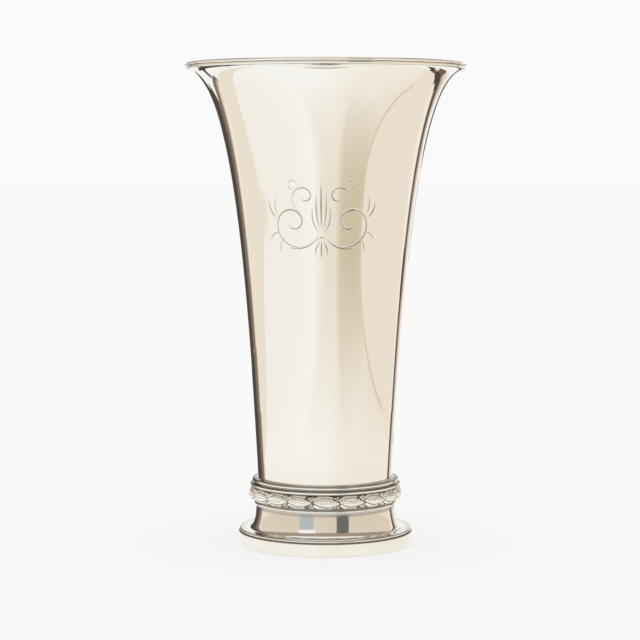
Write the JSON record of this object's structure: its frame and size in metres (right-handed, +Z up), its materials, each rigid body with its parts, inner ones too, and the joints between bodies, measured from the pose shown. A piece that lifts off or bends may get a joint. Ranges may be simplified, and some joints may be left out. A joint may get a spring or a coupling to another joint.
{
  "type": "silver vase",
  "caption": "Tall trumpet-shaped silver flower vase with a flared reeded lip, a laurel-leaf collar and a round spun foot on a plain plinth band.",
  "frame": {"origin": "centre of the foot's underside, on the surface that the vase stands on", "axes": "+Z up along the vase's axis towards the mouth; -Y is the front, where a laurel leaf is centred"},
  "size_m": [0.146, 0.146, 0.25],
  "materials": {
    "polished_silver": "polished silver sheet and wire with fine wear scratches",
    "oxidised_silver": "chased silver, bright on the raised leaves and dark in the hollows",
    "dull_silver": "unpolished silver inside the vase"
  },
  "bodies": {
    "root": {"body_shell": "polished_silver", "body_floor": "dull_silver", "rim_reed": "polished_silver", "lip_wire": "polished_silver", "collar_top_reed": "polished_silver", "collar_second_reed": "polished_silver", "laurel_band": "oxidised_silver", "collar_base_bead": "polished_silver", "foot_shell": "polished_silver", "plinth_band": "polished_silver"}
  },
  "joints": []
}
